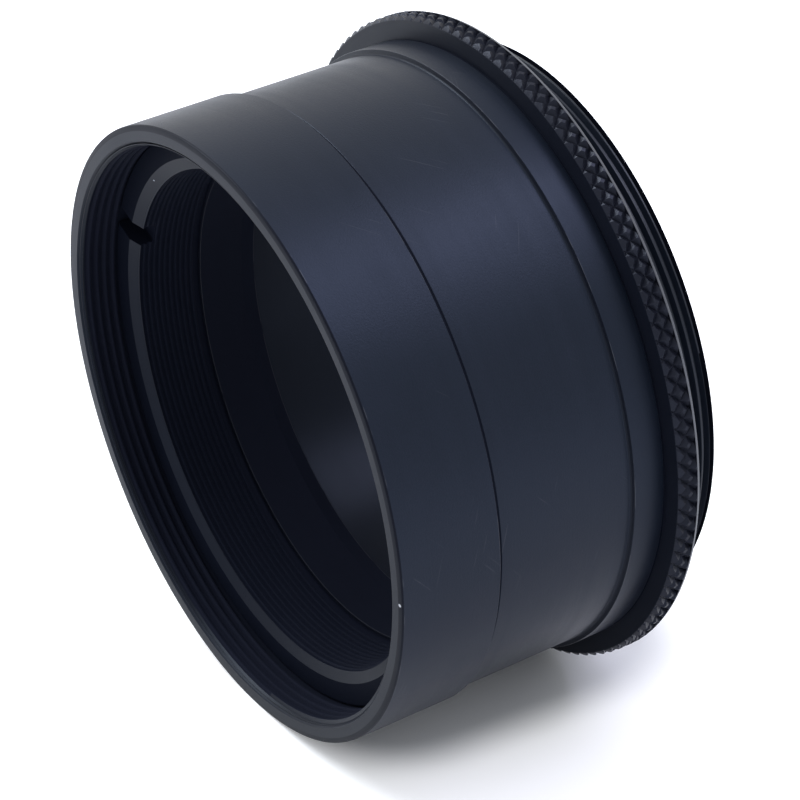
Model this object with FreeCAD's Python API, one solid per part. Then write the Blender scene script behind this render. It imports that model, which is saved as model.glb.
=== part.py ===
import FreeCAD, Part
import math
import os

# A two-inch lens adapter ring, in millimetres.
# The tube axis is Y. The front opening faces -Y and the rear thread leaves towards +Y.
# The origin is on the axis, in the plane of the flange's rear face, which seats on the mating part.
# Every depth below is measured from the front rim backwards, and is turned into Y by row_y().

# Driving dimensions: the barrel's outside
BARREL_DIAMETER = 50.8
FRONT_COLLAR_LENGTH = 8.64
UNDERCUT_LENGTH = 12.21
NECK_LENGTH = 2.85
FLANGE_THICKNESS = 1.85
FLANGE_STEP = 1.7
UNDERCUT_DEPTH = 0.4
RIM_CHAMFER = 0.3
FLANGE_CHAMFER = 0.22
NECK_FILLET = 0.6

# Driving dimensions: the threads at both ends, as the wall between each thread and the barrel's outside
THREAD_PITCH = 0.75
FRONT_THREAD_WALL = 1.4
REAR_THREAD_WALL = 1.4
REAR_THREAD_ALLOWANCE = 0.02
REAR_THREAD_LENGTH = 3.85
REAR_RELIEF_WIDTH = 0.85
REAR_RELIEF_RECESS = 0.2
REAR_RELIEF_STEP = 0.2
REAR_END_CHAMFER = 0.45
MOUTH_CHAMFER = 0.42

# Driving dimensions: the seat at the bottom of the front thread, and the bores behind it
SEAT_DEPTH = 9.7
SEAT_BORE_STEP = 0.165
SEAT_RELIEF_WIDTH = 0.8
SEAT_WIDTH = 3.4
MIDDLE_BORE_LENGTH = 4.0
STEP_TAPER_LENGTH = 0.9
STEP_HEIGHT = 0.45
REAR_BORE_CHAMFER = 0.5

# Driving dimensions: the insert ring
RING_FACE_DEPTH = 3.5
RING_WALL = 3.0
RING_THREAD_PITCH = 0.5
RING_MOUTH_WIDTH = 0.75
RING_MOUTH_DEPTH = 0.5
RING_OUTER_CHAMFER = 0.3
RING_RELIEF_WIDTH = 0.6
NOTCH_WIDTH = 2.1
NOTCH_DEPTH = 1.75
NOTCH_ANGLE = 155.0

# Radial clearance between the insert ring and the barrel, whose engaged threads are plain cylinders
RING_CLEARANCE = 0.1

# Proportions of a sixty degree metric thread, as shares of the pitch
CREST_FLAT_SHARE = 1.0 / 8.0
MALE_DEPTH_SHARE = 0.6134
FEMALE_DEPTH_SHARE = 0.5413
FLANK_SLOPE = math.tan(math.radians(30.0))

# Depths of the main planes, from the front rim
FRONT_COLLAR_END = FRONT_COLLAR_LENGTH
UNDERCUT_END = FRONT_COLLAR_END + UNDERCUT_LENGTH
FLANGE_FRONT = UNDERCUT_END + NECK_LENGTH
FLANGE_REAR = FLANGE_FRONT + FLANGE_THICKNESS
REAR_END = FLANGE_REAR + REAR_THREAD_LENGTH

# Radii that follow from the barrel's diameter and the walls
BARREL_RADIUS = BARREL_DIAMETER / 2.0
FLANGE_RADIUS = BARREL_RADIUS + FLANGE_STEP
UNDERCUT_RADIUS = BARREL_RADIUS - UNDERCUT_DEPTH
FRONT_THREAD_RADIUS = BARREL_RADIUS - FRONT_THREAD_WALL
SEAT_BORE_RADIUS = FRONT_THREAD_RADIUS - SEAT_BORE_STEP
REAR_THREAD_RADIUS = BARREL_RADIUS - REAR_THREAD_WALL - REAR_THREAD_ALLOWANCE
RING_THREAD_RADIUS = FRONT_THREAD_RADIUS - RING_WALL
MIDDLE_BORE_RADIUS = FRONT_THREAD_RADIUS - SEAT_WIDTH
REAR_BORE_RADIUS = MIDDLE_BORE_RADIUS - STEP_HEIGHT


class Profile:
    """A closed half section, drawn point by point as depth and radius, and revolved about the tube axis."""

    def __init__(self, depth, radius):
        self.start = section_point(depth, radius)
        self.last = self.start
        self.edges = []

    def line(self, depth, radius):
        """Draw a straight line to a depth and radius, and skip a step of no length."""
        target = section_point(depth, radius)
        if self.last.distanceToPoint(target) > 1e-6:
            self.edges.append(Part.LineSegment(self.last, target).toShape())
            self.last = target

    def arc(self, through, end):
        """Draw a round arc through one depth and radius to another."""
        middle = section_point(*through)
        target = section_point(*end)
        self.edges.append(Part.Arc(self.last, middle, target).toShape())
        self.last = target

    def run(self, points):
        """Draw straight lines through a list of depths and radii."""
        for depth, radius in points:
            self.line(depth, radius)

    def solid(self):
        """Close the section and turn it through a full circle."""
        if self.last.distanceToPoint(self.start) > 1e-6:
            self.edges.append(Part.LineSegment(self.last, self.start).toShape())
        face = Part.Face(Part.Wire(self.edges))
        return face.revolve(FreeCAD.Vector(0, 0, 0), FreeCAD.Vector(0, 1, 0), 360)


def row_y(depth):
    """Turn a depth behind the front rim into the part's own Y."""
    return depth - FLANGE_REAR


def section_point(depth, radius):
    """A point of a half section, in the XY plane."""
    return FreeCAD.Vector(radius, row_y(depth), 0)


def male_teeth(major_radius, pitch, first_tooth, start, end):
    """Depths and radii of the ridges of a male thread that fit between start and end, front to rear.

    Ridges stand at first_tooth plus or minus whole pitches.
    """
    root_radius = major_radius - MALE_DEPTH_SHARE * pitch
    crest_half = CREST_FLAT_SHARE * pitch / 2.0
    root_half = crest_half + (major_radius - root_radius) * FLANK_SLOPE
    first = math.ceil((start + root_half - first_tooth) / pitch - 1e-9)
    last = math.floor((end - root_half - first_tooth) / pitch + 1e-9)
    points = []
    for number in range(first, last + 1):
        centre = first_tooth + number * pitch
        points.append((centre - root_half, root_radius))
        points.append((centre - crest_half, major_radius))
        points.append((centre + crest_half, major_radius))
        points.append((centre + root_half, root_radius))
    return points


def female_grooves(major_radius, pitch, first_tooth, start, end):
    """Depths and radii of the grooves of a female thread that fit between start and end, rear to front."""
    minor_radius = female_minor_radius(major_radius, pitch)
    root_half = CREST_FLAT_SHARE * pitch / 2.0
    mouth_half = root_half + (major_radius - minor_radius) * FLANK_SLOPE
    first = math.ceil((start + mouth_half - first_tooth) / pitch - 1e-9)
    last = math.floor((end - mouth_half - first_tooth) / pitch + 1e-9)
    points = []
    for number in range(last, first - 1, -1):
        centre = first_tooth + number * pitch
        points.append((centre + mouth_half, minor_radius))
        points.append((centre + root_half, major_radius))
        points.append((centre - root_half, major_radius))
        points.append((centre - mouth_half, minor_radius))
    return points


def female_minor_radius(major_radius, pitch):
    """The radius of a female thread's crests, which is the wall that a gauge pin meets."""
    return major_radius - FEMALE_DEPTH_SHARE * pitch


def make_barrel():
    """The turned tube: front collar, undercut, neck, flange, rear thread, bores and front thread."""
    front_minor = female_minor_radius(FRONT_THREAD_RADIUS, THREAD_PITCH)
    rear_root = REAR_THREAD_RADIUS - MALE_DEPTH_SHARE * THREAD_PITCH
    relief_edge = REAR_THREAD_RADIUS + REAR_RELIEF_STEP
    fillet_top = BARREL_RADIUS + NECK_FILLET
    fillet_reach = NECK_FILLET * (1.0 - math.sqrt(0.5))
    taper_start = SEAT_DEPTH + MIDDLE_BORE_LENGTH
    taper_end = taper_start + STEP_TAPER_LENGTH

    section = Profile(0, front_minor + MOUTH_CHAMFER)
    section.line(0, BARREL_RADIUS - RIM_CHAMFER)
    section.line(RIM_CHAMFER, BARREL_RADIUS)
    section.line(FRONT_COLLAR_END, BARREL_RADIUS)
    section.line(FRONT_COLLAR_END + UNDERCUT_DEPTH, UNDERCUT_RADIUS)
    section.line(UNDERCUT_END - UNDERCUT_DEPTH, UNDERCUT_RADIUS)
    section.line(UNDERCUT_END, BARREL_RADIUS)
    section.line(FLANGE_FRONT - NECK_FILLET, BARREL_RADIUS)
    section.arc((FLANGE_FRONT - fillet_reach, BARREL_RADIUS + fillet_reach), (FLANGE_FRONT, fillet_top))
    section.line(FLANGE_FRONT, FLANGE_RADIUS - FLANGE_CHAMFER)
    section.line(FLANGE_FRONT + FLANGE_CHAMFER, FLANGE_RADIUS)
    section.line(FLANGE_REAR - FLANGE_CHAMFER, FLANGE_RADIUS)
    section.line(FLANGE_REAR, FLANGE_RADIUS - FLANGE_CHAMFER)
    section.line(FLANGE_REAR, relief_edge)
    section.line(FLANGE_REAR - REAR_RELIEF_RECESS, relief_edge - REAR_RELIEF_RECESS)
    section.line(FLANGE_REAR - REAR_RELIEF_RECESS, rear_root)
    section.line(FLANGE_REAR + REAR_RELIEF_WIDTH, rear_root)
    first_tooth = REAR_END - REAR_END_CHAMFER - THREAD_PITCH / 2.0
    thread_start = FLANGE_REAR + REAR_RELIEF_WIDTH
    section.run(male_teeth(REAR_THREAD_RADIUS, THREAD_PITCH, first_tooth, thread_start, REAR_END))
    section.line(REAR_END, rear_root)
    section.line(REAR_END, REAR_BORE_RADIUS + REAR_BORE_CHAMFER)
    section.line(REAR_END - REAR_BORE_CHAMFER, REAR_BORE_RADIUS)
    section.line(taper_end, REAR_BORE_RADIUS)
    section.line(taper_start, MIDDLE_BORE_RADIUS)
    section.line(SEAT_DEPTH, MIDDLE_BORE_RADIUS)
    section.line(SEAT_DEPTH, FRONT_THREAD_RADIUS)
    section.line(SEAT_DEPTH - SEAT_RELIEF_WIDTH, FRONT_THREAD_RADIUS)
    section.line(SEAT_DEPTH - SEAT_RELIEF_WIDTH, SEAT_BORE_RADIUS)
    section.line(RING_FACE_DEPTH, SEAT_BORE_RADIUS)
    section.line(RING_FACE_DEPTH, front_minor)
    last_groove = RING_FACE_DEPTH - THREAD_PITCH / 2.0
    section.run(female_grooves(FRONT_THREAD_RADIUS, THREAD_PITCH, last_groove, MOUTH_CHAMFER, RING_FACE_DEPTH))
    section.line(MOUTH_CHAMFER, front_minor)
    return section.solid()


def make_insert_ring():
    """The threaded sleeve that sits on the barrel's seat, with a spanner notch across its front face."""
    outer_radius = SEAT_BORE_RADIUS - RING_CLEARANCE
    female_minor = female_minor_radius(RING_THREAD_RADIUS, RING_THREAD_PITCH)
    mouth_radius = RING_THREAD_RADIUS + RING_MOUTH_WIDTH
    mouth_end = RING_FACE_DEPTH + RING_MOUTH_DEPTH
    relief_start = SEAT_DEPTH - RING_RELIEF_WIDTH

    section = Profile(RING_FACE_DEPTH, mouth_radius)
    section.line(RING_FACE_DEPTH, outer_radius - RING_OUTER_CHAMFER)
    section.line(RING_FACE_DEPTH + RING_OUTER_CHAMFER, outer_radius)
    section.line(SEAT_DEPTH - RING_OUTER_CHAMFER, outer_radius)
    section.line(SEAT_DEPTH, outer_radius - RING_OUTER_CHAMFER)
    section.line(SEAT_DEPTH, RING_THREAD_RADIUS)
    section.line(relief_start, RING_THREAD_RADIUS)
    section.line(relief_start, female_minor)
    section.run(female_grooves(RING_THREAD_RADIUS, RING_THREAD_PITCH, mouth_end, mouth_end, relief_start))
    section.line(mouth_end, female_minor)
    ring = section.solid()

    slot_length = 4.0 * FRONT_THREAD_RADIUS
    slot_corner = FreeCAD.Vector(-slot_length / 2.0, row_y(RING_FACE_DEPTH) - NOTCH_DEPTH, -NOTCH_WIDTH / 2.0)
    slot = Part.makeBox(slot_length, 2.0 * NOTCH_DEPTH, NOTCH_WIDTH, slot_corner)
    slot.rotate(FreeCAD.Vector(0, 0, 0), FreeCAD.Vector(0, 1, 0), -NOTCH_ANGLE)
    return ring.cut(slot)


def save(name, shape):
    """Write one piece as its own STEP file and print its size."""
    solid = shape.Solids[0]
    print(name, "solids", len(shape.Solids), "valid", shape.isValid(), "volume", round(shape.Volume, 2))
    print("  length", round(solid.BoundBox.YLength, 3), "from", round(solid.BoundBox.YMin, 3))
    solid.exportStep("parts/" + name + ".step")


def main():
    os.makedirs("parts", exist_ok=True)
    save("barrel", make_barrel())
    save("insert_ring", make_insert_ring())


main()
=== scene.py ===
"""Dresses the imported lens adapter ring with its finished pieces, in a plain pale studio.

Every piece is modelled in metres in the part's own frame. The tube axis is Y, the front opening
faces -Y, and the origin is in the plane of the flange's rear face. Sizes are written in
millimetres, unless their text says metres, and depths are measured from the front rim backwards.
"""

import logging
import math
from collections.abc import Callable, Iterator, Mapping, Sequence
from contextlib import contextmanager
from dataclasses import dataclass, field
from enum import Enum
from typing import Any

import bmesh
import bpy
from mathutils import Matrix, Vector

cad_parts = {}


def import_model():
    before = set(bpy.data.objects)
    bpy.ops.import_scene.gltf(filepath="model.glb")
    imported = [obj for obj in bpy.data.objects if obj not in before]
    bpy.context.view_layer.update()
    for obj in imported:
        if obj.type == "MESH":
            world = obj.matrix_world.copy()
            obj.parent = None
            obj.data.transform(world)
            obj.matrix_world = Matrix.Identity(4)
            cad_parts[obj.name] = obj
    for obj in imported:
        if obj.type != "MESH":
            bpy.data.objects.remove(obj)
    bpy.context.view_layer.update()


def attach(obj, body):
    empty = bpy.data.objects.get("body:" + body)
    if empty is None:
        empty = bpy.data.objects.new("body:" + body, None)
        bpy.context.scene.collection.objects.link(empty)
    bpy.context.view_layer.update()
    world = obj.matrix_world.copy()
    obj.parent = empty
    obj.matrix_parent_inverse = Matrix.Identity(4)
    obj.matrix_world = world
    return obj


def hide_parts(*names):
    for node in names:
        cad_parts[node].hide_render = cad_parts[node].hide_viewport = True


LOG = logging.getLogger("adapter_ring")

MILLIMETRE = 0.001
FLANGE_REAR_DEPTH = 25.55
AXIS = (0.0, 1.0, 0.0)
ORIGIN = (0.0, 0.0, 0.0)
TURN_STEPS = 256
WELD = 1e-6
HAIRLINE = 1e-7
SMOOTH_ANGLE = math.radians(28.0)
LARGE_FACE_WEIGHT = 60
COARSE_BLEND = 0.1
FLANK_SLOPE = math.tan(math.radians(30.0))
SPARE_TURNS = 3
SCRATCH_DEPTH = 0.02
# How far past a limit a face counts as beyond it, and how small the Y part of its normal is
# when it looks forward.
MARGIN = 0.02
FINE_MARGIN = 0.01
FORWARD = -0.88

Colour = tuple[float, float, float, float]
Solid = bpy.types.Object

BLACK = (0.0, 0.0, 0.0, 1.0)
WHITE = (1.0, 1.0, 1.0, 1.0)


class Operation(Enum):
    """What one solid does to another where they meet."""

    ADD = "UNION"
    CUT = "DIFFERENCE"
    KEEP_COMMON = "INTERSECT"


class Side(Enum):
    """The side of a wall that a thread stands on."""

    EXTERNAL = 1
    INTERNAL = -1


@dataclass(frozen=True)
class Corner:
    """One corner of a turned outline.

    Args:
        depth: Distance behind the front rim.
        radius: Distance from the tube axis.
        blend: How far along its two lines the corner is rounded.
    """

    depth: float
    radius: float
    blend: float = 0.04

    def place(self) -> Vector:
        """The corner's point in the part's frame, in metres."""
        return Vector((self.radius, self.depth - FLANGE_REAR_DEPTH, 0.0)) * MILLIMETRE


def around(angle: float, radius: float, depth: float) -> Vector:
    """A point round the tube axis, in metres.

    Args:
        angle: Degrees from +X towards +Z.
        radius: Distance from the axis.
        depth: Distance behind the front rim.

    Returns:
        The point in the part's frame.
    """
    turn = math.radians(angle)
    spot = Vector((radius * math.cos(turn), depth - FLANGE_REAR_DEPTH, radius * math.sin(turn)))
    return spot * MILLIMETRE


def where(point: Vector) -> tuple[float, float]:
    """A point's distance from the axis and its depth behind the front rim."""
    radius = math.hypot(point.x, point.z) / MILLIMETRE
    return radius, point.y / MILLIMETRE + FLANGE_REAR_DEPTH


def dark(red: int, green: int, blue: int) -> Colour:
    """A dark colour from its three parts in ten-thousandths."""
    return (red / 10000, green / 10000, blue / 10000, 1.0)


class Bench:
    """The modelling steps that every piece is made with."""

    @staticmethod
    def pick(*pieces: Solid) -> None:
        """Leave edit mode, select only these pieces and make the first one active."""
        current = bpy.context.view_layer.objects.active
        if current is not None and current.mode != "OBJECT":
            bpy.ops.object.mode_set(mode="OBJECT")
        bpy.ops.object.select_all(action="DESELECT")
        for piece in pieces:
            piece.select_set(True)
        if pieces:
            bpy.context.view_layer.objects.active = pieces[0]

    @staticmethod
    @contextmanager
    def editing(piece: Solid) -> Iterator[None]:
        """Hold a mesh object in edit mode, with all its points selected at the start."""
        Bench.pick(piece)
        bpy.ops.object.mode_set(mode="EDIT")
        bpy.ops.mesh.select_mode(type="VERT")
        bpy.ops.mesh.select_all(action="SELECT")
        yield
        bpy.ops.object.mode_set(mode="OBJECT")

    @staticmethod
    def choose(piece: Solid, test: Callable[[Vector], bool]) -> None:
        """Select the points of a piece in edit mode by their place.

        Args:
            piece: The mesh object in edit mode.
            test: Says whether a point in the part's frame is wanted.
        """
        shape = bmesh.from_edit_mesh(piece.data)
        for point in shape.verts:
            point.select_set(test(piece.matrix_world @ point.co))
        shape.select_flush_mode()
        bmesh.update_edit_mesh(piece.data)

    @staticmethod
    def settle(piece: Solid) -> None:
        """Move a piece's place, turn and scale into its mesh."""
        Bench.pick(piece)
        bpy.ops.object.transform_apply(location=True, rotation=True, scale=True)

    @staticmethod
    def outline(name: str, corners: Sequence[Corner]) -> Solid:
        """Draw a closed half section, corner by corner, and round its corners.

        Args:
            name: The new piece's name.
            corners: The corners in order.

        Returns:
            A mesh object that holds the closed line.
        """
        Bench.pick()
        last = corners[0].place()
        bpy.ops.mesh.primitive_plane_add(size=MILLIMETRE, location=last)
        piece = bpy.context.object
        piece.name = name
        with Bench.editing(piece):
            bpy.ops.mesh.merge(type="CENTER")
            for corner in (*corners[1:], corners[0]):
                place = corner.place()
                bpy.ops.mesh.extrude_vertices_move(TRANSFORM_OT_translate={"value": place - last})
                last = place
            bpy.ops.mesh.select_all(action="SELECT")
            bpy.ops.mesh.remove_doubles(threshold=HAIRLINE)
            Bench.round_corners(piece, corners)
        Bench.settle(piece)
        return piece

    @staticmethod
    def round_corners(piece: Solid, corners: Sequence[Corner]) -> None:
        """Round the corners of an outline in edit mode, one size of blend at a time."""
        for blend in sorted({corner.blend for corner in corners if corner.blend > 0.0}):
            places = [corner.place() for corner in corners if corner.blend == blend]
            Bench.choose(piece, lambda spot: any((spot - place).length < WELD for place in places))
            bpy.ops.mesh.bevel(
                offset=blend * MILLIMETRE,
                offset_type="OFFSET",
                segments=3 if blend > COARSE_BLEND else 2,
                affect="VERTICES",
            )

    @staticmethod
    def turn(piece: Solid) -> None:
        """Turn a closed outline through a full circle into a solid."""
        with Bench.editing(piece):
            bpy.ops.mesh.spin(
                steps=TURN_STEPS, dupli=False, angle=math.tau, center=ORIGIN, axis=AXIS
            )
            bpy.ops.mesh.select_all(action="SELECT")
            bpy.ops.mesh.remove_doubles(threshold=WELD)
            bpy.ops.mesh.normals_make_consistent(inside=False)

    @staticmethod
    def combine(piece: Solid, tool: Solid, operation: Operation) -> None:
        """Join, cut or trim one solid with another, which is used up.

        Args:
            piece: The solid that is changed.
            tool: The solid that changes it.
            operation: What is done where they meet.
        """
        Bench.pick(piece)
        step = piece.modifiers.new("combine", "BOOLEAN")
        step.operation = operation.value
        step.solver = "EXACT"
        step.object = tool
        bpy.ops.object.modifier_apply(modifier=step.name)
        bpy.data.objects.remove(tool)

    @staticmethod
    def wear(
        piece: Solid,
        finishes: Sequence["AnodisedFinish"],
        choice: Callable[[Vector, Vector], int],
    ) -> None:
        """Give each face of a piece one of its finishes.

        Args:
            piece: The piece.
            finishes: The finishes.
            choice: Picks a finish's number from a face's middle and its normal.
        """
        piece.data.materials.clear()
        for finish in finishes:
            piece.data.materials.append(finish.material())
        for face in piece.data.polygons:
            face.material_index = choice(face.center, face.normal)

    @staticmethod
    def smooth(piece: Solid) -> None:
        """Smooth the turned faces of a finished solid, and keep its edges crisp."""
        Bench.pick(piece)
        bpy.ops.object.shade_smooth_by_angle(angle=SMOOTH_ANGLE)
        weights = piece.modifiers.new("large_faces_lead", "WEIGHTED_NORMAL")
        weights.mode = "FACE_AREA"
        weights.weight = LARGE_FACE_WEIGHT
        weights.keep_sharp = True
        bpy.ops.object.modifier_apply(modifier=weights.name)


@dataclass(frozen=True)
class Thread:
    """A right-hand screw thread of sixty degrees on a turned wall.

    Args:
        name: The thread's name.
        side: Which side of the wall it stands on.
        pitch: Its pitch.
        wall_radius: The radius at its roots.
        crest_radius: The radius at its crests.
        start: The depth where it starts.
        end: The depth where it ends.
        lead_in: The length over which it rises from the wall at its start.
        lead_out: The length over which it falls to the wall at its end.
        crest_share: The crest's flat as a share of the pitch.
        sink_share: How far the ridge sinks into the wall, as a share of the pitch.
        spare: How far the space for the ridge goes past its crests.
        crest_blend: How far the crest's corners are rounded.
    """

    name: str
    side: Side
    pitch: float
    wall_radius: float
    crest_radius: float
    start: float
    end: float
    lead_in: float
    lead_out: float
    crest_share: float
    sink_share: float = 0.07
    spare: float = 0.02
    crest_blend: float = 0.02

    def make(self) -> Solid:
        """Make the thread's ridge as a closed solid that sinks slightly into its wall."""
        ridge = self._ridge()
        Bench.combine(ridge, self._envelope(), Operation.KEEP_COMMON)
        return ridge

    def _ridge(self) -> Solid:
        """The long ridge, wound past both ends of the thread, which the envelope then trims."""
        base_radius = self.wall_radius - self.side.value * self.sink_share * self.pitch
        crest_half = self.crest_share * self.pitch / 2.0
        base_half = crest_half + abs(self.crest_radius - base_radius) * FLANK_SLOPE
        first = self.start - SPARE_TURNS / 2.0 * self.pitch
        corners = [
            Corner(first - base_half, base_radius, 0.0),
            Corner(first - crest_half, self.crest_radius, self.crest_blend),
            Corner(first + crest_half, self.crest_radius, self.crest_blend),
            Corner(first + base_half, base_radius, 0.0),
        ]
        ridge = Bench.outline(self.name, corners)
        half_step = math.pi / TURN_STEPS
        bpy.ops.transform.rotate(value=half_step, orient_axis="Y", center_override=ORIGIN)
        Bench.settle(ridge)
        winding = ridge.modifiers.new("winding", "SCREW")
        winding.axis = "Y"
        winding.angle = math.tau
        winding.screw_offset = self.pitch * MILLIMETRE
        winding.iterations = math.ceil((self.end - self.start) / self.pitch) + SPARE_TURNS
        winding.steps = TURN_STEPS
        winding.render_steps = TURN_STEPS
        winding.use_smooth_shade = False
        bpy.ops.object.modifier_apply(modifier=winding.name)
        self._close_ends(ridge)
        return ridge

    @staticmethod
    def _close_ends(ridge: Solid) -> None:
        """Fill the two open ends of a wound ridge and turn its faces outwards."""
        with Bench.editing(ridge):
            bpy.ops.mesh.select_all(action="DESELECT")
            bpy.ops.mesh.select_non_manifold(extend=False, use_multi_face=False)
            bpy.ops.mesh.edge_face_add()
            bpy.ops.mesh.select_all(action="SELECT")
            bpy.ops.mesh.normals_make_consistent(inside=False)

    def _envelope(self) -> Solid:
        """The turned space that the ridge may fill, with a ramp at each end."""
        out = self.side.value
        top = self.crest_radius + out * self.spare
        bottom = self.wall_radius - out * 2.0 * self.sink_share * self.pitch
        corners = [
            Corner(self.start, self.wall_radius, 0.0),
            Corner(self.start + self.lead_in, top, 0.0),
            Corner(self.end - self.lead_out, top, 0.0),
            Corner(self.end, self.wall_radius, 0.0),
            Corner(self.end, bottom, 0.0),
            Corner(self.start, bottom, 0.0),
        ]
        envelope = Bench.outline(self.name + "_envelope", corners)
        Bench.turn(envelope)
        return envelope


@dataclass(frozen=True)
class DiamondKnurl:
    """A rolled diamond pattern round the flange.

    Args:
        teeth: The number of diamonds in one row.
        valley_radius: The radius at the bottom of the grooves.
        height: The height of a diamond above the grooves.
        slope_width: The width of a diamond's sloping sides, seen from above.
        centre_depth: The depth of the pattern's middle row.
        front_depth: The depth where the rolled band starts.
        rear_depth: The depth where it ends.
        reach: The radius that the rolling tool fills to.
        rows_beside: The number of rows on each side of the middle one.
        weld: How close two rows' points are where they become one.
    """

    teeth: int = 121
    valley_radius: float = 26.92
    height: float = 0.38
    slope_width: float = 0.35
    centre_depth: float = 24.625
    front_depth: float = 23.4
    rear_depth: float = 25.29
    reach: float = 28.2
    rows_beside: int = 2
    weld: float = 0.02

    @property
    def half_diagonal(self) -> float:
        """Half the length of a diamond's diagonals."""
        return self.valley_radius * math.tan(math.pi / self.teeth)

    def make(self) -> Solid:
        """Make the ring-shaped tool whose inner face leaves the diamonds standing."""
        rows = [self._row(number) for number in range(-self.rows_beside, self.rows_beside + 1)]
        tool = rows[0]
        Bench.pick(*rows)
        bpy.ops.object.join()
        tool.name = "knurl_tool"
        with Bench.editing(tool):
            bpy.ops.mesh.remove_doubles(threshold=self.weld * MILLIMETRE)
            self._trim()
            bpy.ops.mesh.select_all(action="DESELECT")
            bpy.ops.mesh.select_non_manifold(extend=False, use_multi_face=False)
            bpy.ops.mesh.extrude_edges_move(TRANSFORM_OT_translate={"value": ORIGIN})
            growth = self.reach / self.valley_radius
            bpy.ops.transform.resize(value=(growth, 1.0, growth), center_override=ORIGIN)
            bpy.ops.mesh.bridge_edge_loops()
            bpy.ops.mesh.select_all(action="SELECT")
            bpy.ops.mesh.normals_make_consistent(inside=False)
        return tool

    def _row(self, number: int) -> Solid:
        """Make one row of diamonds as an open mesh. The middle row has the number 0."""
        Bench.pick()
        depth = self.centre_depth + number * self.half_diagonal
        bpy.ops.mesh.primitive_circle_add(
            vertices=4,
            radius=self.half_diagonal * MILLIMETRE,
            fill_type="NGON",
            location=around(0.0, self.valley_radius, depth),
            rotation=(0.0, math.pi / 2.0, 0.0),
        )
        row = bpy.context.object
        Bench.settle(row)
        with Bench.editing(row):
            bpy.ops.mesh.inset(
                thickness=self.slope_width * MILLIMETRE,
                depth=self.height * MILLIMETRE,
            )
            bpy.ops.mesh.select_all(action="SELECT")
            bpy.ops.mesh.spin(
                steps=self.teeth - 1,
                dupli=True,
                angle=math.tau * (self.teeth - 1) / self.teeth,
                center=ORIGIN,
                axis=AXIS,
            )
        if number % 2:
            Bench.pick(row)
            half_step = math.pi / self.teeth
            bpy.ops.transform.rotate(value=half_step, orient_axis="Y", center_override=ORIGIN)
            Bench.settle(row)
        return row

    def _trim(self) -> None:
        """Cut the pattern flat, in edit mode, at both ends of the rolled band."""
        for side, depth in ((-1.0, self.front_depth), (1.0, self.rear_depth)):
            bpy.ops.mesh.select_all(action="SELECT")
            bpy.ops.mesh.bisect(
                plane_co=around(0.0, 0.0, depth),
                plane_no=(0.0, side, 0.0),
                clear_outer=True,
                threshold=HAIRLINE,
            )


class Signal:
    """One output of a shader node, on which Python's operators add Math nodes."""

    def __init__(self, graph: "Graph", socket: bpy.types.NodeSocket) -> None:
        """Keep the socket and the graph that it belongs to."""
        self.graph = graph
        self.socket = socket

    def of(self, output: str) -> "Signal":
        """Another output of the same node, by its name."""
        return Signal(self.graph, self.socket.node.outputs[output])

    def _math(self, operation: str, *values: "Signal | float") -> "Signal":
        """Add one Math node, with its inputs in order."""
        inputs = dict(enumerate(values))
        return self.graph.add("ShaderNodeMath", {"operation": operation}, inputs)

    def __add__(self, other: "Signal | float") -> "Signal":
        """The sum."""
        return self._math("ADD", self, other)

    def __sub__(self, other: "Signal | float") -> "Signal":
        """The difference."""
        return self._math("SUBTRACT", self, other)

    def __rsub__(self, other: float) -> "Signal":
        """The difference, from the right."""
        return self._math("SUBTRACT", other, self)

    def __mul__(self, other: "Signal | float") -> "Signal":
        """The product."""
        return self._math("MULTIPLY", self, other)

    def __pow__(self, other: float) -> "Signal":
        """The power."""
        return self._math("POWER", self, other)

    def __abs__(self) -> "Signal":
        """The size without its sign."""
        return self._math("ABSOLUTE", self)

    def above(self, limit: float, softness: float) -> "Signal":
        """A mask that rises from 0 to 1 as the value passes a limit.

        Args:
            limit: The value where the mask reaches one half.
            softness: The width of the rise.
        """
        low, high = limit - softness / 2.0, limit + softness / 2.0
        settings = {"interpolation_type": "SMOOTHSTEP"}
        ends = {"Value": self, "From Min": low, "From Max": high}
        return self.graph.add("ShaderNodeMapRange", settings, ends)

    def either(self, other: "Signal | float") -> "Signal":
        """The larger of two values."""
        return self._math("MAXIMUM", self, other)


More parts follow.
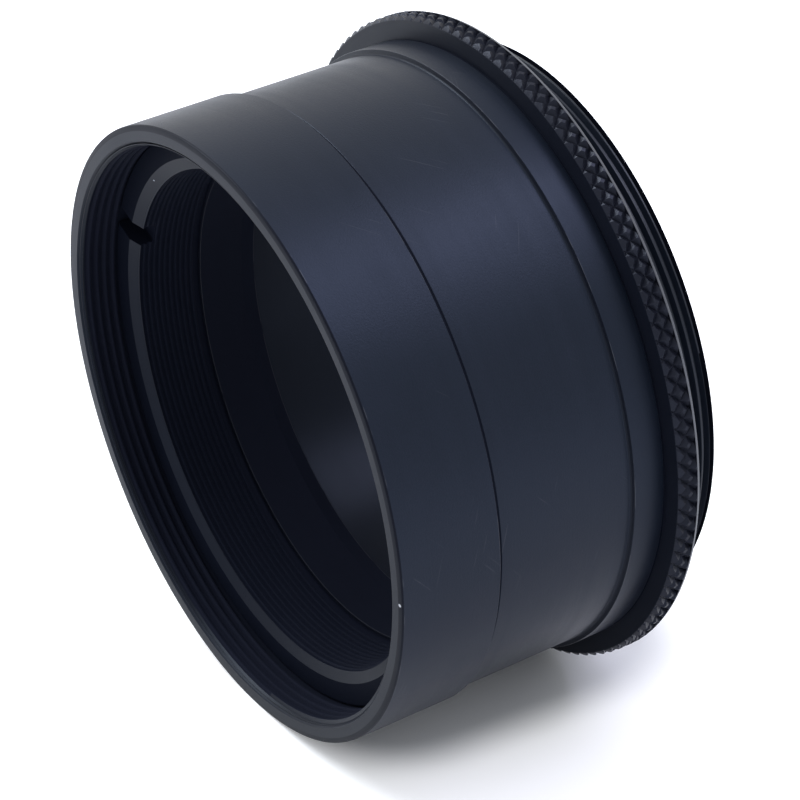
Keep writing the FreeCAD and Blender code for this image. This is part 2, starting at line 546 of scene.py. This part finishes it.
class Graph:
    """The node tree of one material or world."""

    def __init__(self, owner: bpy.types.Material | bpy.types.World) -> None:
        """Empty the owner's node tree and keep it."""
        owner.use_nodes = True
        self.tree = owner.node_tree
        self.tree.nodes.clear()

    def add(
        self,
        kind: str,
        settings: Mapping[str, Any] | None = None,
        inputs: Mapping[int | str, Any] | None = None,
        output: int | str = 0,
    ) -> Signal:
        """Add any node, set it up and link it.

        Args:
            kind: The node's type.
            settings: Its properties, which are set first.
            inputs: Values or signals for its sockets, by name or number.
            output: The output that is handed back, by name or number.

        Returns:
            The chosen output.
        """
        node = self.tree.nodes.new(kind)
        for name, value in (settings or {}).items():
            setattr(node, name, value)
        for name, value in (inputs or {}).items():
            socket = node.inputs[name]
            if isinstance(value, Signal):
                self.tree.links.new(value.socket, socket)
            else:
                socket.default_value = value
        socket = node.outputs[output] if len(node.outputs) else None
        return Signal(self, socket)

    def surface(self, inputs: Mapping[int | str, Any]) -> None:
        """End the material with a Principled shader that has these inputs."""
        shader = self.add("ShaderNodeBsdfPrincipled", {}, inputs)
        self.add("ShaderNodeOutputMaterial", {}, {"Surface": shader})

    def blend(self, mask: Signal, below: Signal | Colour, above: Signal | Colour) -> Signal:
        """Mix two colours by a mask, whose 0 gives the first and 1 the second."""
        return self.add("ShaderNodeMix", {"data_type": "RGBA"}, {0: mask, 6: below, 7: above}, 2)

    def scaled(self, vector: Signal, factors: tuple[float, float, float]) -> Signal:
        """Multiply a vector's three parts."""
        return self.add("ShaderNodeVectorMath", {"operation": "MULTIPLY"}, {0: vector, 1: factors})

    def noise(
        self, vector: Signal, scale: float, detail: float = 2.0, rough: float = 0.5
    ) -> Signal:
        """Smooth noise in space, from 0 to 1.

        Args:
            vector: The place.
            scale: The number of features in a millimetre.
            detail: The number of finer layers.
            rough: How strong the finer layers are.
        """
        inputs = {"Vector": vector, "Scale": scale, "Detail": detail, "Roughness": rough}
        return self.add("ShaderNodeTexNoise", {"noise_dimensions": "3D"}, inputs)

    def rings(self, distance: Signal, scale: float, detail: float = 2.0) -> Signal:
        """Noise along one distance, from 0 to 1, which draws turned rings.

        Args:
            distance: The distance.
            scale: The number of rings in a millimetre.
            detail: The number of finer layers.
        """
        inputs = {"W": distance, "Scale": scale, "Detail": detail, "Roughness": 0.6}
        return self.add("ShaderNodeTexNoise", {"noise_dimensions": "1D"}, inputs)


@dataclass(frozen=True)
class Spot:
    """A small mark where the metal shows through.

    Args:
        angle: Degrees from +X towards +Z.
        radius: Its distance from the axis.
        depth: Its distance behind the front rim.
        size: Its radius.
    """

    angle: float
    radius: float
    depth: float
    size: float


@dataclass(frozen=True)
class PaleEdgeLine:
    """A thin pale line along a turned edge, broken in places. Inside the bore and at the flange's
    rear edge it is a painted highlight.

    Args:
        depth: The edge's distance behind the front rim.
        radius: Its distance from the axis.
        width: The width of the pale line.
        cover: The share of the edge that stays black.
        wear: How pale the line is, from 0 to 1.
    """

    depth: float
    radius: float
    width: float
    cover: float
    wear: float


@dataclass(frozen=True)
class AnodisedFinish:
    """Satin black anodising on turned aluminium.

    Args:
        name: The material's name.
        dye: The colour of the dyed layer.
        faded: The colour where the layer is a little thinner.
        bare_metal_and_highlight: The metal's colour at scratches and marks, also used for the pale
            edge lines, of which those inside the bore and at the flange's rear edge are painted
            highlights.
        roughness: How dull the layer is.
        unevenness: How much the dullness changes from place to place.
        specular: How strongly the layer mirrors.
        tint: The colour of what it mirrors straight on.
        ring_height: The height of the turning marks.
        grain_height: The height of the layer's grain.
        scratches: How pale the hairline scratches are, from 0 to 1.
        marks: The bare marks on it.
        edges: The pale edge lines on it, some of them painted highlights.
    """

    name: str
    dye: Colour = dark(44, 68, 130)
    faded: Colour = dark(66, 94, 170)
    bare_metal_and_highlight: Colour = (0.46, 0.47, 0.50, 1.0)
    roughness: float = 0.38
    unevenness: float = 0.14
    specular: float = 0.26
    tint: Colour = (0.61, 0.73, 1.0, 1.0)
    ring_height: float = 0.0022
    grain_height: float = 0.0030
    scratches: float = 0.0
    marks: tuple[Spot, ...] = ()
    edges: tuple[PaleEdgeLine, ...] = ()

    def material(self) -> bpy.types.Material:
        """Build the finish as a material."""
        made = bpy.data.materials.new(self.name)
        graph = Graph(made)
        metres = graph.add("ShaderNodeTexCoord", output="Object")
        place = graph.scaled(metres, (1.0 / MILLIMETRE,) * 3)
        parts = graph.add("ShaderNodeSeparateXYZ", {}, {0: place}, "X")
        across, along, up = parts, parts.of("Y"), parts.of("Z")
        radius = (across * across + up * up) ** 0.5
        lathe = along + radius
        cloud = graph.noise(place, scale=0.10, detail=3.0, rough=0.55)
        grain = graph.noise(place, scale=7.0, detail=3.0, rough=0.6)
        fine_rings = graph.rings(lathe, scale=5.5, detail=3.0)
        wide_rings = graph.rings(lathe, scale=0.8)
        scratches = self._scratches(graph, place, cloud)
        bare_and_highlit = self._bare_marks_and_painted_highlights(graph, place, along, radius)

        thin = cloud * 0.55 + wide_rings * 0.25 + grain * 0.35
        dyed = graph.blend(thin.above(limit=0.58, softness=0.5), self.dye, self.faded)
        scuffed = graph.blend(scratches * self.scratches, dyed, self.bare_metal_and_highlight)
        # Metal showing at scratches and marks, and painted highlights along some edges, share one
        # pale colour.
        colour = graph.blend(bare_and_highlit, scuffed, self.bare_metal_and_highlight)
        uneven = (cloud - 0.5) * self.unevenness + (wide_rings - 0.5) * (0.4 * self.unevenness)
        roughness = uneven + (grain - 0.5) * (0.6 * self.unevenness) + self.roughness
        dents = scratches * (SCRATCH_DEPTH * self.scratches)
        height = fine_rings * self.ring_height + grain * self.grain_height - dents
        relief = {"Height": height, "Distance": MILLIMETRE, "Strength": 1.0}
        graph.surface(
            {
                "Base Color": colour,
                "Roughness": roughness,
                "Metallic": bare_and_highlit * 0.6,
                "Specular IOR Level": self.specular,
                "Specular Tint": self.tint,
                "Normal": graph.add("ShaderNodeBump", {}, relief),
            }
        )
        return made

    @staticmethod
    def _scratches(graph: Graph, place: Signal, cloud: Signal) -> Signal:
        """A mask of faint hairlines, which the cloud keeps off most of the surface."""
        total = None
        for turn, seed in ((0.5, 3.1), (-0.9, 11.7)):
            turned = graph.add(
                "ShaderNodeVectorRotate",
                {"rotation_type": "AXIS_ANGLE"},
                {"Vector": place, "Angle": turn, "Axis": (0.6, 0.3, 0.7)},
            )
            drawn = graph.scaled(turned, (0.16, 5.0 + 0.1 * seed, 0.16))
            lines = graph.noise(drawn, scale=1.0, detail=1.0).above(limit=0.735, softness=0.05)
            total = lines if total is None else total.either(lines)
        sparse = graph.noise(place, scale=0.22).above(limit=0.56, softness=0.10)
        return total * sparse * cloud.above(limit=0.45, softness=0.2)

    def _bare_marks_and_painted_highlights(self, graph: Graph, place: Signal, along: Signal, radius: Signal) -> Signal:
        """A mask of the marks worn to the metal and of the pale edge lines, some of which are
        painted highlights.
        """
        broken = graph.noise(place, scale=0.22, detail=3.0, rough=0.7)
        total = broken * 0.0
        for edge in self.edges:
            beside = along - (edge.depth - FLANGE_REAR_DEPTH)
            beyond = radius - edge.radius
            distance = (beside * beside + beyond * beyond) ** 0.5
            line = 1.0 - distance.above(edge.width, edge.width)
            total = total.either(line * broken.above(edge.cover, 0.10) * edge.wear)
        for mark in self.marks:
            centre = around(mark.angle, mark.radius, mark.depth) / MILLIMETRE
            distance = graph.add(
                "ShaderNodeVectorMath",
                {"operation": "DISTANCE"},
                {0: place, 1: centre},
                "Value",
            )
            ragged = distance + (graph.noise(place, scale=4.0) - 0.5) * (0.6 * mark.size)
            total = total.either(1.0 - ragged.above(mark.size, 0.3 * mark.size))
        return total


@dataclass
class Barrel:
    """The turned tube, with its knurled flange and the threads at both ends."""

    name: str = "barrel_body_turned"
    rim_radius: float = 25.4
    rim_face_radius: float = 24.90
    rim_bevel: float = 0.05
    rim_chamfer: float = 0.20
    mouth_chamfer: float = 0.12
    mouth_taper: float = 0.4
    mouth_end: float = 0.5
    collar_end: float = 8.64
    undercut_end: float = 20.85
    undercut_depth: float = 0.4
    front_step_run: float = 0.22
    rear_step_run: float = 0.08
    step_groove_width: float = 0.16
    step_groove_depth: float = 0.05
    step_groove_rise: float = 0.05
    neck_groove_width: float = 0.14
    neck_groove_depth: float = 0.06
    neck_groove_run: float = 0.04
    flange_front: float = 23.7
    flange_radius: float = 27.3
    flange_drop: float = 0.04
    flange_front_chamfer: float = 0.36
    flange_rear_chamfer: float = 0.08
    front_wall_radius: float = 24.0
    front_crest_radius: float = 23.594
    seat_bore_radius: float = 23.835
    ring_face_depth: float = 3.5
    seat_depth: float = 9.7
    seat_relief_width: float = 0.8
    middle_bore_radius: float = 20.6
    middle_bore_end: float = 13.7
    taper_end: float = 14.6
    rear_bore_radius: float = 20.15
    rear_bore_chamfer: float = 0.5
    rear_end: float = 29.4
    rear_land_width: float = 0.36
    rear_land_rise: float = 0.25
    rear_root_radius: float = 23.57
    rear_crest_radius: float = 23.98
    relief_edge_radius: float = 24.18
    relief_recess: float = 0.2
    pitch: float = 0.75
    knurl: DiamondKnurl = field(default_factory=DiamondKnurl)

    def model(self) -> Solid:
        """Model the tube: turn it, roll its knurl and cut its threads."""
        piece = Bench.outline(self.name, self._corners())
        Bench.turn(piece)
        Bench.combine(piece, self.knurl.make(), Operation.CUT)
        Bench.combine(piece, self._front_thread().make(), Operation.ADD)
        Bench.combine(piece, self._rear_thread().make(), Operation.ADD)
        Bench.smooth(piece)
        return piece

    def dress(self, piece: Solid) -> None:
        """Give the tube its finishes, in the order that `_finish_number` counts them."""
        satin = AnodisedFinish(
            name="barrel_black_anodised",
            unevenness=0.20,
            grain_height=0.0115,
            scratches=0.03,
            marks=(Spot(-5.0, 25.10, 0.06, 0.14),),
            edges=(
                PaleEdgeLine(self.undercut_end, self.rim_radius, 0.04, 0.50, 0.16),
                PaleEdgeLine(self.collar_end, self.rim_radius, 0.04, 0.60, 0.08),
                PaleEdgeLine(self.rim_chamfer + 0.03, self.rim_radius, 0.04, 0.55, 0.07),
            ),
        )
        faced = AnodisedFinish(
            name="barrel_faced_black",
            dye=dark(54, 67, 122),
            faded=dark(76, 91, 152),
            roughness=0.42,
            specular=0.15,
            tint=(0.70, 0.82, 1.0, 1.0),
            ring_height=0.0045,
            marks=satin.marks,
        )
        bored = AnodisedFinish(
            name="barrel_bore_black",
            dye=dark(36, 48, 92),
            faded=dark(52, 66, 115),
            roughness=0.34,
            specular=0.115,
            tint=(0.70, 0.82, 1.0, 1.0),
            grain_height=0.0010,
        )
        dull = AnodisedFinish(
            name="barrel_thread_black",
            dye=dark(58, 70, 125),
            faded=dark(72, 86, 150),
            roughness=0.60,
            specular=0.04,
            edges=(
                # Painted highlights: pale lines on the edge at the seat's rear and where the taper
                # meets the rear bore.
                PaleEdgeLine(self.seat_depth, self.middle_bore_radius, 0.03, 0.35, 0.07),
                PaleEdgeLine(self.taper_end, self.rear_bore_radius, 0.03, 0.45, 0.07),
            ),
        )
        rolled = AnodisedFinish(
            name="barrel_knurl_black",
            dye=dark(52, 62, 110),
            faded=dark(95, 108, 170),
            roughness=0.36,
            specular=0.23,
            unevenness=0.30,
            tint=(0.70, 0.77, 1.0, 1.0),
            grain_height=0.0140,
        )
        hazed = AnodisedFinish(
            name="barrel_front_thread_black",
            dye=dark(88, 102, 182),
            faded=dark(102, 118, 205),
            roughness=0.65,
            specular=0.03,
        )
        crisp = AnodisedFinish(
            name="barrel_rear_thread_black",
            roughness=0.34,
            specular=0.32,
            tint=(0.84, 0.90, 1.0, 1.0),
            edges=(
                # Painted highlight: a pale line along the flange's rear edge.
                PaleEdgeLine(FLANGE_REAR_DEPTH - 0.10, self.flange_radius - 0.08, 0.14, 0.30, 0.18),
            ),
        )
        # Painted shade: the land behind the rear thread is dyed near-black and given no mirror,
        # standing in for the shade it lies in.
        land_painted_shade = AnodisedFinish(
            name="barrel_land_painted_shade",
            dye=dark(20, 24, 40),
            faded=dark(24, 28, 46),
            roughness=0.80,
            specular=0.0,
        )
        bevelled = AnodisedFinish(
            name="barrel_bevel_black",
            dye=dark(58, 68, 115),
            faded=dark(74, 86, 140),
            roughness=0.45,
            specular=0.08,
            tint=(0.76, 0.84, 1.0, 1.0),
            marks=satin.marks,
        )
        finishes = [satin, faced, bored, dull, rolled, hazed, crisp, land_painted_shade, bevelled]
        Bench.wear(piece, finishes, self._finish_number)

    def _finish_number(self, middle: Vector, facing: Vector) -> int:
        """Tell which finish a face has.

        Args:
            middle: The face's middle, in the part's frame.
            facing: The face's normal, which the tube's finishes don't depend on.

        Returns:
            0 for the satin outside, 1 for the faced ends, the chamfers and the mouth, 2 for the
            rear bore, 3 for the seat, the middle bore, the taper and the tool grooves, 4 for the
            knurl, 5 for the front thread, 6 for the rear one and the flange's rear edge, which has
            a painted highlight line, 7 for the land at the rear end, painted near-black as shade,
            and 8 for the rim's bevel.
        """
        radius, depth = where(middle)
        if radius > self.rim_radius + MARGIN:
            if depth > self.knurl.rear_depth:
                return 6
            return 4 if depth > self.flange_front + MARGIN else 1
        if radius > self.front_wall_radius + FINE_MARGIN:
            if depth < self.rim_chamfer:
                return 8 if radius > self.rim_face_radius + MARGIN else 1
            step_start = self.collar_end + 0.03
            step_end = self.collar_end + self.front_step_run + 0.2
            neck_start = self.flange_front - self.neck_groove_width - 0.03
            neck_end = self.flange_front + FINE_MARGIN
            if step_start < depth < step_end or neck_start < depth < neck_end:
                return 3
            rising = self.undercut_end - 0.14 < depth < self.undercut_end + FINE_MARGIN
            return 1 if rising and radius < self.rim_radius - FINE_MARGIN else 0
        if radius > self.rear_root_radius - MARGIN:
            if depth < self.mouth_end:
                return 1
            land_start = self.rear_end - self.rear_land_width - 0.05
            if depth > FLANGE_REAR_DEPTH:
                return 7 if depth > land_start else 6
            return 5 if depth < self.ring_face_depth else 3
        return 3 if depth < self.taper_end + MARGIN else 2

    def _corners(self) -> list[Corner]:
        """The corners of the tube's half section, front rim first."""
        low = self.rim_radius - self.undercut_depth
        recess = FLANGE_REAR_DEPTH - self.relief_recess
        seat_front = self.seat_depth - self.seat_relief_width
        groove = self.collar_end + self.front_step_run
        land = self.rear_end - self.rear_land_width
        neck = self.flange_front - self.neck_groove_width
        chamfer_top = self.flange_radius - self.flange_drop
        step_low = low - self.step_groove_depth
        neck_low = self.rim_radius - self.neck_groove_depth
        front_chamfer = self.flange_front_chamfer
        land_radius = self.rear_crest_radius - FINE_MARGIN
        outside = [
            Corner(0.0, self.rim_face_radius),
            Corner(self.rim_bevel, self.rim_radius - self.rim_bevel),
            Corner(self.rim_chamfer, self.rim_radius),
            Corner(self.collar_end, self.rim_radius, 0.05),
            Corner(groove, step_low, 0.03),
            Corner(groove + self.step_groove_width, step_low, 0.03),
            Corner(groove + self.step_groove_width + self.step_groove_rise, low, 0.03),
            Corner(self.undercut_end - self.rear_step_run, low, 0.16),
            Corner(self.undercut_end, self.rim_radius, 0.06),
            Corner(neck - self.neck_groove_run, self.rim_radius, 0.02),
            Corner(neck, neck_low, 0.02),
            Corner(self.flange_front, neck_low, 0.02),
            Corner(self.flange_front, self.flange_radius - front_chamfer),
            Corner(self.flange_front + front_chamfer, self.flange_radius),
            Corner(self.knurl.rear_depth - FINE_MARGIN, self.flange_radius, 0.0),
            Corner(self.knurl.rear_depth + FINE_MARGIN, chamfer_top, 0.0),
            Corner(FLANGE_REAR_DEPTH, chamfer_top - self.flange_rear_chamfer, 0.03),
        ]
        rear = [
            Corner(FLANGE_REAR_DEPTH, self.relief_edge_radius),
            Corner(recess, self.relief_edge_radius - self.relief_recess),
            Corner(recess, self.rear_root_radius),
            Corner(land - self.rear_land_rise, self.rear_root_radius, 0.0),
            Corner(land, land_radius),
            Corner(self.rear_end - 0.02, land_radius, 0.0),
            Corner(self.rear_end, self.rear_crest_radius - 0.03, 0.0),
            Corner(self.rear_end, self.rear_bore_radius + self.rear_bore_chamfer),
            Corner(self.rear_end - self.rear_bore_chamfer, self.rear_bore_radius),
        ]
        inside = [
            Corner(self.taper_end, self.rear_bore_radius),
            Corner(self.middle_bore_end, self.middle_bore_radius),
            Corner(self.seat_depth, self.middle_bore_radius),
            Corner(self.seat_depth, self.front_wall_radius, 0.0),
            Corner(seat_front, self.front_wall_radius, 0.0),
            Corner(seat_front, self.seat_bore_radius, 0.02),
            Corner(self.mouth_chamfer + self.mouth_taper, self.seat_bore_radius, 0.0),
            Corner(self.mouth_chamfer, self.front_wall_radius, 0.0),
            Corner(0.0, self.front_wall_radius + self.mouth_chamfer, 0.0),
        ]
        return outside + rear + inside

    def _front_thread(self) -> Thread:
        """The female thread inside the front rim."""
        return Thread(
            name="front_thread",
            side=Side.INTERNAL,
            pitch=self.pitch,
            wall_radius=self.seat_bore_radius,
            crest_radius=self.front_crest_radius,
            start=self.mouth_chamfer + 0.02,
            end=self.ring_face_depth - 0.08,
            lead_in=self.mouth_taper,
            lead_out=0.1,
            crest_share=0.25,
        )

    def _rear_thread(self) -> Thread:
        """The male thread behind the flange."""
        return Thread(
            name="rear_thread",
            side=Side.EXTERNAL,
            pitch=self.pitch,
            wall_radius=self.rear_root_radius,
            crest_radius=self.rear_crest_radius,
            start=FLANGE_REAR_DEPTH + 0.85,
            end=self.rear_end - self.rear_land_width + 0.05,
            lead_in=0.2,
            lead_out=0.03,
            crest_share=0.20,
        )


@dataclass
class InsertRing:
    """The threaded sleeve inside the tube, with a spanner slot across its face."""

    name: str = "insert_ring_turned"
    face_depth: float = 3.5
    end_depth: float = 9.7
    outer_radius: float = 23.735
    outer_chamfer: float = 0.16
    mouth_radius: float = 21.75
    mouth_end: float = 4.0
    wall_radius: float = 20.87
    crest_radius: float = 20.7294
    thread_end: float = 9.1
    pitch: float = 0.5
    slot_width: float = 2.1
    slot_depth: float = 1.75
    slot_angle: float = 155.0
    slot_blend: float = 0.08
    cutter_reach: float = 2.4

    def model(self) -> Solid:
        """Model the sleeve: turn it, cut its thread and mill its slot."""
        piece = Bench.outline(self.name, self._corners())
        Bench.turn(piece)
        Bench.combine(piece, self._thread().make(), Operation.ADD)
        Bench.combine(piece, self._slot_tool(), Operation.CUT)
        Bench.smooth(piece)
        return piece

    def dress(self, piece: Solid) -> None:
        """Give the sleeve its finishes, in the order that `_finish_number` counts them."""
        cone = AnodisedFinish(
            name="ring_black_anodised",
            dye=dark(44, 56, 102),
            faded=dark(58, 72, 124),
            roughness=0.31,
            specular=0.10,
            grain_height=0.0008,
            marks=(Spot(133.0, 21.4, 3.65, 0.07),),
        )
        thread = AnodisedFinish(
            name="ring_thread_black",
            dye=dark(58, 71, 134),
            faded=dark(71, 86, 157),
            roughness=0.60,
            specular=0.04,
        )
        flat = AnodisedFinish(
            name="ring_face_black",
            dye=dark(42, 54, 104),
            faded=dark(52, 66, 124),
            roughness=0.60,
            specular=0.03,
        )
        Bench.wear(piece, [cone, thread, flat], self._finish_number)

    def _finish_number(self, middle: Vector, facing: Vector) -> int:
        """Tell which finish a face has.

        Args:
            middle: The face's middle, in the part's frame.
            facing: The face's normal.

        Returns:
            0 for the smooth cone at the mouth, 2 for the flat face round it, and 1 for the
            duller rest.
        """
        radius, depth = where(middle)
        if facing.y > FORWARD or depth > self.mouth_end + 0.05:
            return 1
        return 0 if self.wall_radius - 0.3 < radius < self.mouth_radius else 2

    def _cone_depth(self) -> float:
        """The depth where the mouth's cone meets the thread's root wall."""
        share = (self.mouth_radius - self.wall_radius) / (self.mouth_radius - self.crest_radius)
        return self.face_depth + share * (self.mouth_end - self.face_depth)

    def _corners(self) -> list[Corner]:
        """The corners of the sleeve's half section, face first."""
        return [
            Corner(self.face_depth, self.mouth_radius, 0.05),
            Corner(self.face_depth, self.outer_radius - self.outer_chamfer),
            Corner(self.face_depth + self.outer_chamfer, self.outer_radius),
            Corner(self.end_depth - self.outer_chamfer, self.outer_radius),
            Corner(self.end_depth, self.outer_radius - self.outer_chamfer),
            Corner(self.end_depth, self.wall_radius),
            Corner(self._cone_depth(), self.wall_radius, 0.0),
        ]

    def _thread(self) -> Thread:
        """The female thread inside the sleeve."""
        start = self._cone_depth() + 0.01
        return Thread(
            name="ring_thread",
            side=Side.INTERNAL,
            pitch=self.pitch,
            wall_radius=self.wall_radius,
            crest_radius=self.crest_radius,
            start=start,
            end=self.thread_end,
            lead_in=self.mouth_end - start,
            lead_out=0.1,
            crest_share=0.25,
        )

    def _slot_tool(self) -> Solid:
        """The straight cutter that mills the slot across the sleeve's face."""
        Bench.pick()
        bpy.ops.mesh.primitive_cube_add(
            size=MILLIMETRE,
            location=around(0.0, 0.0, self.face_depth),
            rotation=(0.0, -math.radians(self.slot_angle), 0.0),
            scale=(self.cutter_reach * self.outer_radius, 2.0 * self.slot_depth, self.slot_width),
        )
        tool = bpy.context.object
        tool.name = "slot_cutter"
        Bench.settle(tool)
        floor_level = around(0.0, 0.0, self.face_depth + 0.9 * self.slot_depth).y
        with Bench.editing(tool):
            Bench.choose(tool, lambda spot: spot.y > floor_level)
            bpy.ops.mesh.bevel(offset=self.slot_blend * MILLIMETRE, segments=2, affect="EDGES")
        return tool


@dataclass
class Studio:
    """The pale floor with painted light round the object's shadow, the soft lamps, the world and
    the camera.
    """

    floor_size: float = 4.0
    # Painted light on the floor: the strength of its white glow, and the share of it seen in
    # mirrors.
    painted_floor_light: float = 0.43
    painted_light_in_mirrors: float = 0.25
    # The strip beside the contact line, inside which the painted glow fades out and the lamps'
    # real shadow stays.
    shade_side: float = 0.005
    shade_reach: float = 0.0075
    shade_radius: float = 0.010
    shade_fade: float = 0.006
    rim_contact: tuple[float, float] = (-25.25, -25.4)
    flange_contact: tuple[float, float] = (-0.25, -27.1)
    camera_place: tuple[float, float, float] = (184.828, -117.638, 124.285)
    azimuth: float = 59.669
    elevation: float = 30.639
    roll: float = -4.583
    lens: float = 139.095
    sensor: float = 36.0
    nearest: float = 0.01
    farthest: float = 20.0

    @property
    def tilt(self) -> float:
        """The floor's slope along the tube, in radians."""
        run = self.flange_contact[0] - self.rim_contact[0]
        return math.atan((self.rim_contact[1] - self.flange_contact[1]) / run)

    def build(self) -> None:
        """Set up everything round the object."""
        bpy.context.scene.view_settings.view_transform = "Standard"
        self._floor()
        self._world()
        self._lamp("band_softbox", (0.29, 0.47, 0.83), 0.85, 0.42, 2.6, (0.79, 0.78, 1.0))
        self._lamp("side_softbox", (-0.62, -0.28, 0.73), 0.90, 0.50, 6.8, (0.90, 0.95, 1.0))
        self._camera()

    def _floor(self) -> None:
        """Lay the floor under the rim and the flange, which the tube rests on, and paint light
        onto it beyond the shadow's strip.
        """
        Bench.pick()
        bpy.ops.mesh.primitive_grid_add(x_subdivisions=8, y_subdivisions=8, size=self.floor_size)
        floor = bpy.context.object
        floor.name = "studio_floor"
        along, height = (value * MILLIMETRE for value in self.rim_contact)
        rest = Matrix.Translation((0.0, along, height)) @ Matrix.Rotation(-self.tilt, 4, "X")
        floor.data.transform(rest)
        material = bpy.data.materials.new("pale_floor")
        graph = Graph(material)
        place = graph.add("ShaderNodeTexCoord", output="Object")
        parts = graph.add("ShaderNodeSeparateXYZ", {}, {0: place}, "X")
        # Painted light: a white glow for camera rays, and in part for mirror rays, that rises with
        # the distance from a strip beside the contact line, so the real shadow ends sooner.
        beside = parts - self.shade_side
        beyond = (abs(parts.of("Y") + self.shade_reach) - self.shade_reach).either(0.0)
        distance = (beside * beside + beyond * beyond) ** 0.5
        seen = self._seen(graph, self.painted_light_in_mirrors)
        painted_light = seen * distance.above(self.shade_radius, self.shade_fade) * self.painted_floor_light
        graph.surface(
            {
                "Base Color": (0.93, 0.935, 0.94, 1.0),
                "Roughness": 0.9,
                "Specular IOR Level": 0.0,
                "Emission Color": graph.blend(painted_light, BLACK, WHITE),
                "Emission Strength": 1.0,
            }
        )
        floor.data.materials.append(material)

    @staticmethod
    def _seen(graph: Graph, mirrored: float = 1.0) -> Signal:
        """A mask of the rays that see a background, and of the share that a mirror shows."""
        path = graph.add("ShaderNodeLightPath", output="Is Camera Ray")
        mirror = path.of("Is Glossy Ray").either(path.of("Is Transmission Ray"))
        return path.either(mirror * mirrored)

    def _world(self) -> None:
        """Make the world white to the eye and in mirrors, and a moderate grey as a lamp."""
        world = bpy.data.worlds.new("pale_room")
        bpy.context.scene.world = world
        graph = Graph(world)
        grey = (0.70, 0.72, 0.76, 1.0)
        colour = graph.blend(self._seen(graph), grey, WHITE)
        background = graph.add("ShaderNodeBackground", {}, {"Color": colour, "Strength": 1.0})
        graph.add("ShaderNodeOutputWorld", {}, {"Surface": background})

    @staticmethod
    def _lamp(
        name: str,
        direction: tuple[float, float, float],
        distance: float,
        size: float,
        power: float,
        colour: tuple[float, float, float],
    ) -> None:
        """Hang one soft lamp that faces the object.

        Args:
            name: The lamp's name.
            direction: Where it hangs, seen from the object.
            distance: How far away, in metres.
            size: The length of its square face, in metres.
            power: Its power, in watts.
            colour: The colour of its light.
        """
        aim = Vector((0.0, -0.0125, 0.0))
        ray = Vector(direction).normalized()
        Bench.pick()
        bpy.ops.object.light_add(type="AREA", location=aim + ray * distance)
        lamp = bpy.context.object
        lamp.name = name
        lamp.data.shape = "SQUARE"
        lamp.data.size = size
        lamp.data.energy = power
        lamp.data.color = colour
        lamp.rotation_euler = ray.to_track_quat("Z", "Y").to_euler()

    def _camera(self) -> None:
        """Place the camera where the photograph was taken."""
        turn, rise, roll = (math.radians(x) for x in (self.azimuth, self.elevation, self.roll))
        back = Vector(
            (math.sin(turn) * math.cos(rise), -math.cos(turn) * math.cos(rise), math.sin(rise))
        )
        level = Vector((math.cos(turn), math.sin(turn), 0.0))
        upright = back.cross(level)
        right = level * math.cos(roll) + upright * math.sin(roll)
        up = back.cross(right)
        Bench.pick()
        bpy.ops.object.camera_add()
        camera = bpy.context.object
        camera.name = "photo_camera"
        stand = Matrix((right, up, back)).transposed().to_4x4()
        stand.translation = Vector(self.camera_place) * MILLIMETRE
        camera.matrix_world = stand
        camera.data.sensor_width = self.sensor
        camera.data.lens = self.lens
        camera.data.clip_start = self.nearest
        camera.data.clip_end = self.farthest
        bpy.context.scene.camera = camera


def report(piece: Solid) -> None:
    """Log a finished piece's size and whether it is closed."""
    shape = bmesh.new()
    shape.from_mesh(piece.data)
    loose = sum(not edge.is_manifold for edge in shape.edges)
    volume = shape.calc_volume() / MILLIMETRE**3
    triangles = sum(len(face.verts) - 2 for face in shape.faces)
    shape.free()
    message = "%s: %d triangles, %.0f cubic millimetres, %d open edges"
    LOG.info(message, piece.name, triangles, volume, loose)


def main() -> None:
    """Load the frame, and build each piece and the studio."""
    logging.basicConfig(level=logging.INFO, format="%(message)s")
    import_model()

    for part, body, node, slot in (
        (Barrel(), "barrel_body", "barrel", "barrel_anodised"),
        (InsertRing(), "ring_body", "insert_ring", "ring_anodised"),
    ):
        piece = part.model()
        part.dress(piece)
        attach(piece, body)
        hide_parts(node)
        report(piece)

    Studio().build()


if __name__ == "__main__":
    main()
